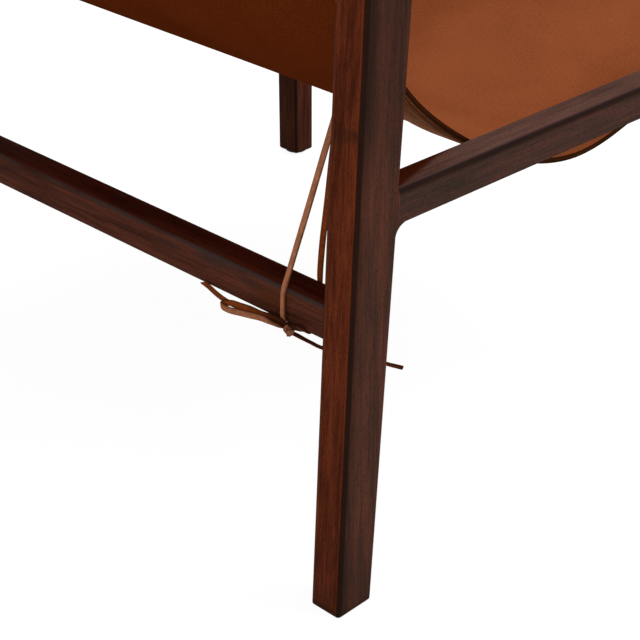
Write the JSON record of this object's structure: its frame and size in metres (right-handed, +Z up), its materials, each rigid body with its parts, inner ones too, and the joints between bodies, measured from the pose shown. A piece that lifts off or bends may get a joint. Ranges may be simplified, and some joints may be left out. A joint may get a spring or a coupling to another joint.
{
  "type": "sling lounge chair",
  "caption": "Low wooden easy chair with a leather sling seat hung between a top rail and a front rail and tied to the back stretcher by leather thongs.",
  "frame": {"origin": "bottom centre of the chair's bounding box, on the floor", "axes": "+Z up, the chair faces -Y, +X to the sitter's left as the chair faces the viewer"},
  "size_m": [0.753, 0.7674, 0.7984],
  "materials": {
    "wood": "satin lacquer, dark red-brown",
    "sling_leather": "smooth, tan seat side and dark brown outer side",
    "hem_leather": "matte, rough side out",
    "thong_leather": "matte tan",
    "glide": "matte dark"
  },
  "bodies": {
    "root": {"leg_back_left": "wood", "leg_back_right": "wood", "leg_front_left": "wood", "leg_front_right": "wood", "rail_side_left": "wood", "rail_side_right": "wood", "arm_left": "wood", "arm_right": "wood", "stretcher_back": "wood", "rail_front": "wood", "rail_top": "wood", "glide_back_left": "glide", "glide_back_right": "glide", "glide_front_left": "glide", "glide_front_right": "glide", "sling_panel": "sling_leather", "sling_hem_left": "hem_leather", "sling_hem_right": "hem_leather", "thong_tie_left": "thong_leather", "thong_knot_left": "thong_leather", "thong_loop_left": "thong_leather", "thong_tail_short_left": "thong_leather", "thong_tail_long_left": "thong_leather", "thong_tie_right": "thong_leather", "thong_knot_right": "thong_leather", "thong_loop_right": "thong_leather", "thong_tail_short_right": "thong_leather", "thong_tail_long_right": "thong_leather"}
  },
  "joints": []
}
